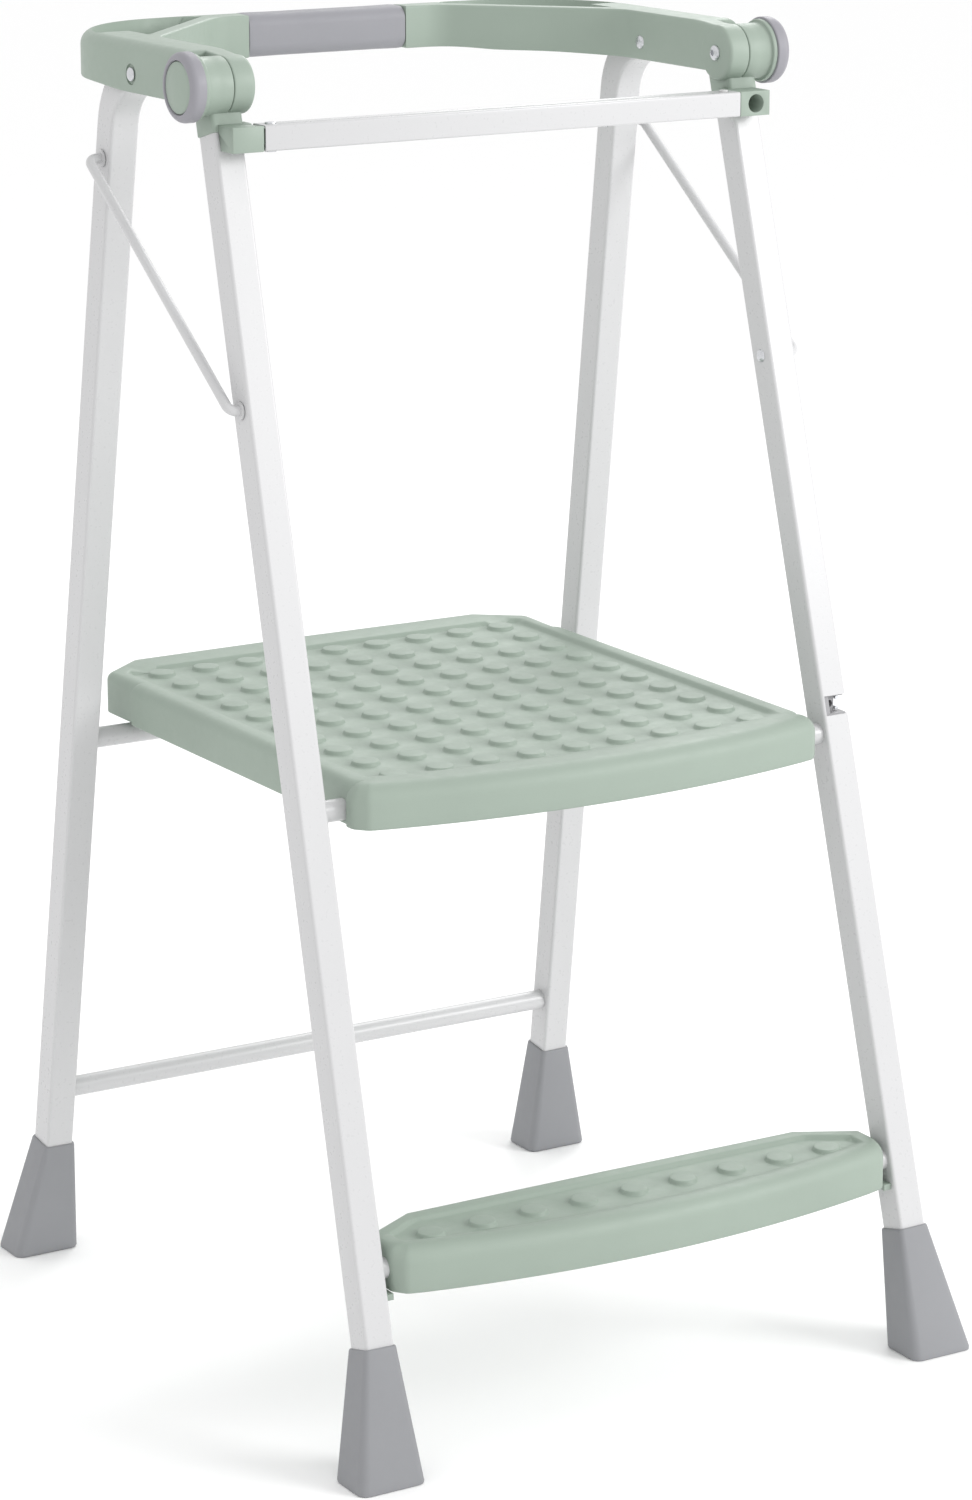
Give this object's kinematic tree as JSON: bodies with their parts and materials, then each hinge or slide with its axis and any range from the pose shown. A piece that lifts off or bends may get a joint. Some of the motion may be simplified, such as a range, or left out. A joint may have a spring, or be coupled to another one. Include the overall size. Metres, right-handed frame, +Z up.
{
  "type": "step stool",
  "caption": "Folding step stool with a broad studded platform, a bowed lower step, a hoop handrail on locking hubs, a swing-out front bar and rubber feet.",
  "frame": {"origin": "on the floor, at the middle of the footprint of the bounding box", "axes": "+Z up, +X to the right of a person facing the stool from the front, the lower step is on the -Y side"},
  "size_m": [0.5024, 0.549, 0.9165],
  "materials": {
    "white_frame": "white powder-coated steel, fine satin texture",
    "sage_plastic": "moulded sage green polypropylene, fine matt grain",
    "grip_lilac_grey": "soft-touch lilac grey overmould, fine grain",
    "foot_rubber": "grey moulded rubber, matt",
    "grey_plastic": "grey moulded nylon",
    "white_plastic": "white moulded acetal",
    "steel": "zinc-plated steel, bright"
  },
  "bodies": {
    "front_frame": {"front_foot_left": "foot_rubber", "front_foot_right": "foot_rubber", "front_leg_left": "white_frame", "front_leg_right": "white_frame", "front_platform_tube": "white_frame", "front_rod_rivets": "steel", "gate_hinge_block": "sage_plastic", "gate_latch_block": "sage_plastic", "hub_bezel_left": "grip_lilac_grey", "hub_bezel_right": "grip_lilac_grey", "hub_bracket_left": "sage_plastic", "hub_bracket_right": "sage_plastic", "hub_pivot_bolt_left": "steel", "hub_pivot_bolt_right": "steel", "hub_pivot_nuts": "steel", "hub_return_springs": "steel", "leg_catch_insert": "grey_plastic", "leg_catch_screws": "steel", "lower_step": "sage_plastic", "step_clamp_screws": "steel", "step_end_lugs": "sage_plastic", "step_tube": "white_frame", "step_tube_clamps": "sage_plastic"},
    "handrail": {"rail_core_bar": "steel", "rail_grip": "grip_lilac_grey", "rail_pivot_rivets": "steel", "rail_shell_left": "sage_plastic", "rail_shell_right": "sage_plastic"},
    "rear_frame": {"rear_foot_left": "foot_rubber", "rear_foot_right": "foot_rubber", "rear_leg_left": "white_frame", "rear_leg_right": "white_frame", "rear_lower_tube": "white_frame", "rear_platform_tube": "white_frame", "rear_rod_rivets": "steel"},
    "brace_rod_left": {"brace_rod_left": "white_frame", "rod_washers_left": "white_frame"},
    "brace_rod_right": {"brace_rod_right": "white_frame", "rod_washers_right": "white_frame"},
    "platform": {"platform_deck": "sage_plastic", "platform_hinge_saddles": "sage_plastic", "platform_rear_rests": "foot_rubber", "platform_saddle_screws": "steel"},
    "front_bar": {"gate_bar": "white_frame", "gate_bar_plug": "grey_plastic", "gate_hinge_pin": "steel"},
    "latch_button_top": {"gate_button_top": "white_plastic"},
    "latch_button_bottom": {"gate_button_bottom": "white_plastic"},
    "hub_push_left": {"hub_button_left": "sage_plastic", "hub_lock_wheel_left": "grey_plastic"},
    "hub_push_right": {"hub_button_right": "sage_plastic", "hub_lock_wheel_right": "grey_plastic"}
  },
  "joints": [
    {"name": "handrail_fold", "type": "hinge", "parent": "front_frame", "child": "handrail", "pos_m": [0, -0.021, 0.8933], "axis": [1, 0, 0], "range_deg": [0, 50]},
    {"name": "rear_frame_fold", "type": "hinge", "parent": "handrail", "child": "rear_frame", "pos_m": [0, 0.0751, 0.8925], "axis": [-1, 0, 0], "range_deg": [0, 71]},
    {"name": "brace_rod_left_swing", "type": "hinge", "parent": "front_frame", "child": "brace_rod_left", "pos_m": [-0.2, -0.0689, 0.686], "axis": [1, 0, 0], "range_deg": [0, 19.6]},
    {"name": "brace_rod_right_swing", "type": "hinge", "parent": "front_frame", "child": "brace_rod_right", "pos_m": [0.2, -0.0689, 0.686], "axis": [1, 0, 0], "range_deg": [0, 19.6]},
    {"name": "platform_lift", "type": "hinge", "parent": "front_frame", "child": "platform", "pos_m": [0, -0.13956, 0.427], "axis": [1, 0, 0], "range_deg": [0, 75]},
    {"name": "front_bar_swing", "type": "hinge", "parent": "front_frame", "child": "front_bar", "pos_m": [-0.1793, -0.0435, 0.8605], "axis": [0, 0, -1], "range_deg": [0, 90]},
    {"name": "latch_button_top_press", "type": "slide", "parent": "front_bar", "child": "latch_button_top", "axis": [0, 0, -1], "range_m": [0, 0.0012], "stiffness_N_per_m": 400},
    {"name": "latch_button_bottom_press", "type": "slide", "parent": "front_bar", "child": "latch_button_bottom", "axis": [0, 0, 1], "range_m": [0, 0.0012], "stiffness_N_per_m": 400, "springref_m": -0.0003},
    {"name": "hub_push_left_press", "type": "slide", "parent": "front_frame", "child": "hub_push_left", "axis": [1, 0, 0], "range_m": [0, 0.003], "stiffness_N_per_m": 1500},
    {"name": "hub_push_right_press", "type": "slide", "parent": "front_frame", "child": "hub_push_right", "axis": [-1, 0, 0], "range_m": [0, 0.003], "stiffness_N_per_m": 1500}
  ],
  "couplings": [
    {"joint": "rear_frame_fold", "follows": "handrail_fold", "ratio": 1.4168},
    {"joint": "brace_rod_left_swing", "follows": "handrail_fold", "ratio": 0.3904},
    {"joint": "brace_rod_right_swing", "follows": "handrail_fold", "ratio": 0.3904},
    {"joint": "platform_lift", "follows": "handrail_fold", "ratio": 1.495}
  ]
}
